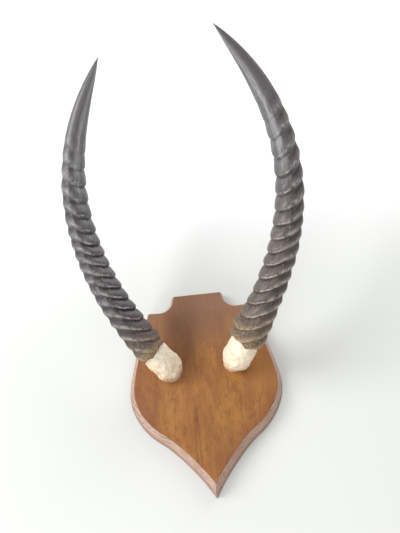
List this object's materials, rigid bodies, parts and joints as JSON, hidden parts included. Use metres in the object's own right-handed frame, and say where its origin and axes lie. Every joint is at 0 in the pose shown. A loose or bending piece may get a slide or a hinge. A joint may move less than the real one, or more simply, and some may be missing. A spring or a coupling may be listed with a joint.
{
  "type": "pair of mounted antelope horns",
  "caption": "Pair of dark, ringed, lyre-shaped antelope horns on short bony cores, fixed to a shield-shaped wooden plaque with a bevelled edge.",
  "frame": {"origin": "on the flat back of the plaque, on its centre line, 14 mm below its widest place", "axes": "+Z out of the plaque's front, +Y towards its square top, +X to its right as seen from the front"},
  "size_m": [0.3238, 0.4814, 0.3548],
  "materials": {
    "stained_wood": "satin, orange-brown stain",
    "bone": "dry, matt",
    "horn": "satin, polished at the tips"
  },
  "bodies": {
    "root": {"plaque": "stained_wood", "left_core": "bone", "right_core": "bone", "left_horn": "horn", "right_horn": "horn"}
  },
  "joints": []
}
